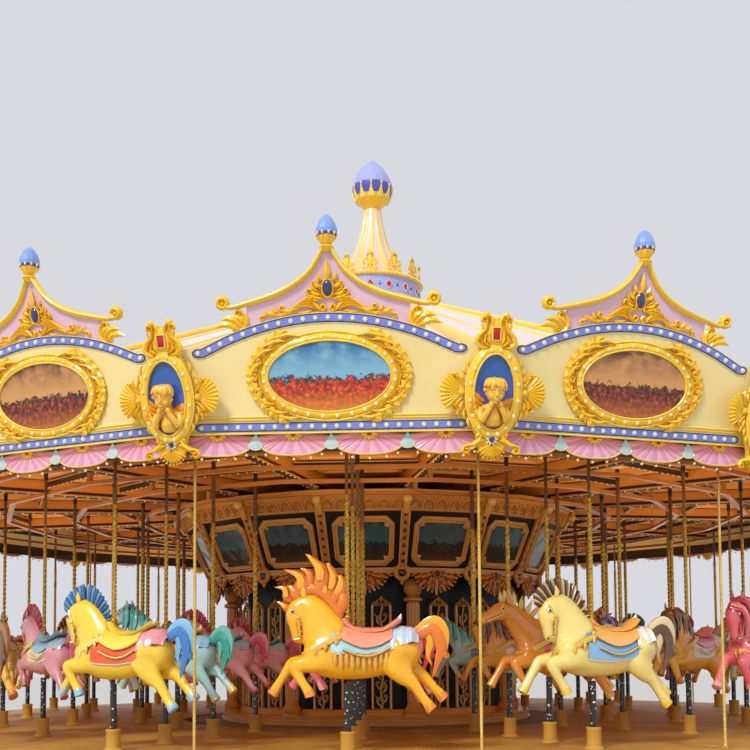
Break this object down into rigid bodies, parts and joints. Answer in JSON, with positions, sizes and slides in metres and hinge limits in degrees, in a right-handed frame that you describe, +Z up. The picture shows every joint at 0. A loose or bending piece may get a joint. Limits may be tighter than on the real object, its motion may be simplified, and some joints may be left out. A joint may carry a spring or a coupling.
{
  "type": "fairground carousel",
  "caption": "Round fairground carousel with galloping horses on poles, a columned centre house, painted rounding boards with oval frames and shields, and a conical roof with a crowned spire.",
  "frame": {"origin": "on the ground on the turning axis", "axes": "+Z up along the turning axis, -Y through the middle of bay 0 at the front"},
  "size_m": [14.5692, 14.5692, 8.89],
  "materials": {
    "iron": "dark satin paint",
    "concrete": "grey floor paint",
    "navy_paint": "dark navy satin paint",
    "tan_gold": "aged gold paint on glass-fibre",
    "gilding": "bright gold gloss paint on glass-fibre mouldings",
    "cream_paint": "cream-yellow gloss paint",
    "pink_paint": "lilac-pink gloss paint",
    "blue_paint": "periwinkle blue gloss paint",
    "brown_panels": "varnished tan-brown ceiling panels",
    "deck_paint": "yellow-brown deck paint",
    "horse_paint": "painted glass-fibre horse on a brass pole and a black post"
  },
  "bodies": {
    "base": {"track_ring": "iron", "centre_base": "concrete", "centre_mast": "iron", "house_wall": "navy_paint", "house_columns": "tan_gold", "lattice_screens": "tan_gold"},
    "carousel": {"platform_front": "deck_paint", "platform_back": "deck_paint", "platform_rim": "cream_paint", "outer_pole_ring": "navy_paint", "middle_pole_ring": "navy_paint", "inner_pole_ring": "navy_paint", "drum_pole_ring": "navy_paint", "sweep_frame": "navy_paint", "ceiling_panels": "brown_panels", "drum_wall": "navy_paint", "drum_cornice": "tan_gold", "drum_swags": "tan_gold", "rounding_boards": "cream_paint", "upper_light_rail": "blue_paint", "lower_light_rail": "blue_paint", "pediments": "pink_paint", "corner_shields": "gilding", "valance": "pink_paint", "roof_tilt": "cream_paint", "crown": "gilding", "spire": "pink_paint", "spire_finial": "blue_paint"},
    "outer_horse_00": {"outer_horse_00": "horse_paint"},
    "inner_horses_00": {"inner_horses_00": "horse_paint"},
    "outer_horse_01": {"outer_horse_01": "horse_paint"},
    "inner_horses_01": {"inner_horses_01": "horse_paint"},
    "outer_horse_02": {"outer_horse_02": "horse_paint"},
    "inner_horses_02": {"inner_horses_02": "horse_paint"},
    "outer_horse_03": {"outer_horse_03": "horse_paint"},
    "inner_horses_03": {"inner_horses_03": "horse_paint"},
    "outer_horse_04": {"outer_horse_04": "horse_paint"},
    "inner_horses_04": {"inner_horses_04": "horse_paint"},
    "outer_horse_05": {"outer_horse_05": "horse_paint"},
    "inner_horses_05": {"inner_horses_05": "horse_paint"},
    "outer_horse_06": {"outer_horse_06": "horse_paint"},
    "inner_horses_06": {"inner_horses_06": "horse_paint"},
    "outer_horse_07": {"outer_horse_07": "horse_paint"},
    "inner_horses_07": {"inner_horses_07": "horse_paint"},
    "outer_horse_08": {"outer_horse_08": "horse_paint"},
    "inner_horses_08": {"inner_horses_08": "horse_paint"},
    "outer_horse_09": {"outer_horse_09": "horse_paint"},
    "inner_horses_09": {"inner_horses_09": "horse_paint"},
    "outer_horse_10": {"outer_horse_10": "horse_paint"},
    "inner_horses_10": {"inner_horses_10": "horse_paint"},
    "outer_horse_11": {"outer_horse_11": "horse_paint"},
    "inner_horses_11": {"inner_horses_11": "horse_paint"},
    "outer_horse_12": {"outer_horse_12": "horse_paint"},
    "inner_horses_12": {"inner_horses_12": "horse_paint"},
    "outer_horse_13": {"outer_horse_13": "horse_paint"},
    "inner_horses_13": {"inner_horses_13": "horse_paint"},
    "outer_horse_14": {"outer_horse_14": "horse_paint"},
    "inner_horses_14": {"inner_horses_14": "horse_paint"},
    "outer_horse_15": {"outer_horse_15": "horse_paint"},
    "inner_horses_15": {"inner_horses_15": "horse_paint"}
  },
  "joints": [
    {"name": "carousel_turn", "type": "hinge", "parent": "base", "child": "carousel", "pos_m": [0, 0, 0], "axis": [0, 0, 1], "continuous": true},
    {"name": "outer_lift_00", "type": "slide", "parent": "carousel", "child": "outer_horse_00", "axis": [0, 0, 1], "range_m": [-0.15, 0.15]},
    {"name": "inner_lift_00", "type": "slide", "parent": "carousel", "child": "inner_horses_00", "axis": [0, 0, 1], "range_m": [-0.15, 0.15]},
    {"name": "outer_lift_01", "type": "slide", "parent": "carousel", "child": "outer_horse_01", "axis": [0, 0, 1], "range_m": [-0.15, 0.15]},
    {"name": "inner_lift_01", "type": "slide", "parent": "carousel", "child": "inner_horses_01", "axis": [0, 0, 1], "range_m": [-0.15, 0.15]},
    {"name": "outer_lift_02", "type": "slide", "parent": "carousel", "child": "outer_horse_02", "axis": [0, 0, 1], "range_m": [-0.15, 0.15]},
    {"name": "inner_lift_02", "type": "slide", "parent": "carousel", "child": "inner_horses_02", "axis": [0, 0, 1], "range_m": [-0.15, 0.15]},
    {"name": "outer_lift_03", "type": "slide", "parent": "carousel", "child": "outer_horse_03", "axis": [0, 0, 1], "range_m": [-0.15, 0.15]},
    {"name": "inner_lift_03", "type": "slide", "parent": "carousel", "child": "inner_horses_03", "axis": [0, 0, 1], "range_m": [-0.15, 0.15]},
    {"name": "outer_lift_04", "type": "slide", "parent": "carousel", "child": "outer_horse_04", "axis": [0, 0, 1], "range_m": [-0.15, 0.15]},
    {"name": "inner_lift_04", "type": "slide", "parent": "carousel", "child": "inner_horses_04", "axis": [0, 0, 1], "range_m": [-0.15, 0.15]},
    {"name": "outer_lift_05", "type": "slide", "parent": "carousel", "child": "outer_horse_05", "axis": [0, 0, 1], "range_m": [-0.15, 0.15]},
    {"name": "inner_lift_05", "type": "slide", "parent": "carousel", "child": "inner_horses_05", "axis": [0, 0, 1], "range_m": [-0.15, 0.15]},
    {"name": "outer_lift_06", "type": "slide", "parent": "carousel", "child": "outer_horse_06", "axis": [0, 0, 1], "range_m": [-0.15, 0.15]},
    {"name": "inner_lift_06", "type": "slide", "parent": "carousel", "child": "inner_horses_06", "axis": [0, 0, 1], "range_m": [-0.15, 0.15]},
    {"name": "outer_lift_07", "type": "slide", "parent": "carousel", "child": "outer_horse_07", "axis": [0, 0, 1], "range_m": [-0.15, 0.15]},
    {"name": "inner_lift_07", "type": "slide", "parent": "carousel", "child": "inner_horses_07", "axis": [0, 0, 1], "range_m": [-0.15, 0.15]},
    {"name": "outer_lift_08", "type": "slide", "parent": "carousel", "child": "outer_horse_08", "axis": [0, 0, 1], "range_m": [-0.15, 0.15]},
    {"name": "inner_lift_08", "type": "slide", "parent": "carousel", "child": "inner_horses_08", "axis": [0, 0, 1], "range_m": [-0.15, 0.15]},
    {"name": "outer_lift_09", "type": "slide", "parent": "carousel", "child": "outer_horse_09", "axis": [0, 0, 1], "range_m": [-0.15, 0.15]},
    {"name": "inner_lift_09", "type": "slide", "parent": "carousel", "child": "inner_horses_09", "axis": [0, 0, 1], "range_m": [-0.15, 0.15]},
    {"name": "outer_lift_10", "type": "slide", "parent": "carousel", "child": "outer_horse_10", "axis": [0, 0, 1], "range_m": [-0.15, 0.15]},
    {"name": "inner_lift_10", "type": "slide", "parent": "carousel", "child": "inner_horses_10", "axis": [0, 0, 1], "range_m": [-0.15, 0.15]},
    {"name": "outer_lift_11", "type": "slide", "parent": "carousel", "child": "outer_horse_11", "axis": [0, 0, 1], "range_m": [-0.15, 0.15]},
    {"name": "inner_lift_11", "type": "slide", "parent": "carousel", "child": "inner_horses_11", "axis": [0, 0, 1], "range_m": [-0.15, 0.15]},
    {"name": "outer_lift_12", "type": "slide", "parent": "carousel", "child": "outer_horse_12", "axis": [0, 0, 1], "range_m": [-0.15, 0.15]},
    {"name": "inner_lift_12", "type": "slide", "parent": "carousel", "child": "inner_horses_12", "axis": [0, 0, 1], "range_m": [-0.15, 0.15]},
    {"name": "outer_lift_13", "type": "slide", "parent": "carousel", "child": "outer_horse_13", "axis": [0, 0, 1], "range_m": [-0.15, 0.15]},
    {"name": "inner_lift_13", "type": "slide", "parent": "carousel", "child": "inner_horses_13", "axis": [0, 0, 1], "range_m": [-0.15, 0.15]},
    {"name": "outer_lift_14", "type": "slide", "parent": "carousel", "child": "outer_horse_14", "axis": [0, 0, 1], "range_m": [-0.15, 0.15]},
    {"name": "inner_lift_14", "type": "slide", "parent": "carousel", "child": "inner_horses_14", "axis": [0, 0, 1], "range_m": [-0.15, 0.15]},
    {"name": "outer_lift_15", "type": "slide", "parent": "carousel", "child": "outer_horse_15", "axis": [0, 0, 1], "range_m": [-0.15, 0.15]},
    {"name": "inner_lift_15", "type": "slide", "parent": "carousel", "child": "inner_horses_15", "axis": [0, 0, 1], "range_m": [-0.15, 0.15]}
  ],
  "couplings": [
    {"joint": "inner_lift_00", "follows": "outer_lift_00", "ratio": -1},
    {"joint": "outer_lift_01", "follows": "outer_lift_00", "ratio": -1},
    {"joint": "inner_lift_01", "follows": "outer_lift_00", "ratio": 1},
    {"joint": "outer_lift_02", "follows": "outer_lift_00", "ratio": 1},
    {"joint": "inner_lift_02", "follows": "outer_lift_00", "ratio": -1},
    {"joint": "outer_lift_03", "follows": "outer_lift_00", "ratio": -1},
    {"joint": "inner_lift_03", "follows": "outer_lift_00", "ratio": 1},
    {"joint": "outer_lift_04", "follows": "outer_lift_00", "ratio": 1},
    {"joint": "inner_lift_04", "follows": "outer_lift_00", "ratio": -1},
    {"joint": "outer_lift_05", "follows": "outer_lift_00", "ratio": -1},
    {"joint": "inner_lift_05", "follows": "outer_lift_00", "ratio": 1},
    {"joint": "outer_lift_06", "follows": "outer_lift_00", "ratio": 1},
    {"joint": "inner_lift_06", "follows": "outer_lift_00", "ratio": -1},
    {"joint": "outer_lift_07", "follows": "outer_lift_00", "ratio": -1},
    {"joint": "inner_lift_07", "follows": "outer_lift_00", "ratio": 1},
    {"joint": "outer_lift_08", "follows": "outer_lift_00", "ratio": 1},
    {"joint": "inner_lift_08", "follows": "outer_lift_00", "ratio": -1},
    {"joint": "outer_lift_09", "follows": "outer_lift_00", "ratio": -1},
    {"joint": "inner_lift_09", "follows": "outer_lift_00", "ratio": 1},
    {"joint": "outer_lift_10", "follows": "outer_lift_00", "ratio": 1},
    {"joint": "inner_lift_10", "follows": "outer_lift_00", "ratio": -1},
    {"joint": "outer_lift_11", "follows": "outer_lift_00", "ratio": -1},
    {"joint": "inner_lift_11", "follows": "outer_lift_00", "ratio": 1},
    {"joint": "outer_lift_12", "follows": "outer_lift_00", "ratio": 1},
    {"joint": "inner_lift_12", "follows": "outer_lift_00", "ratio": -1},
    {"joint": "outer_lift_13", "follows": "outer_lift_00", "ratio": -1},
    {"joint": "inner_lift_13", "follows": "outer_lift_00", "ratio": 1},
    {"joint": "outer_lift_14", "follows": "outer_lift_00", "ratio": 1},
    {"joint": "inner_lift_14", "follows": "outer_lift_00", "ratio": -1},
    {"joint": "outer_lift_15", "follows": "outer_lift_00", "ratio": -1},
    {"joint": "inner_lift_15", "follows": "outer_lift_00", "ratio": 1}
  ]
}
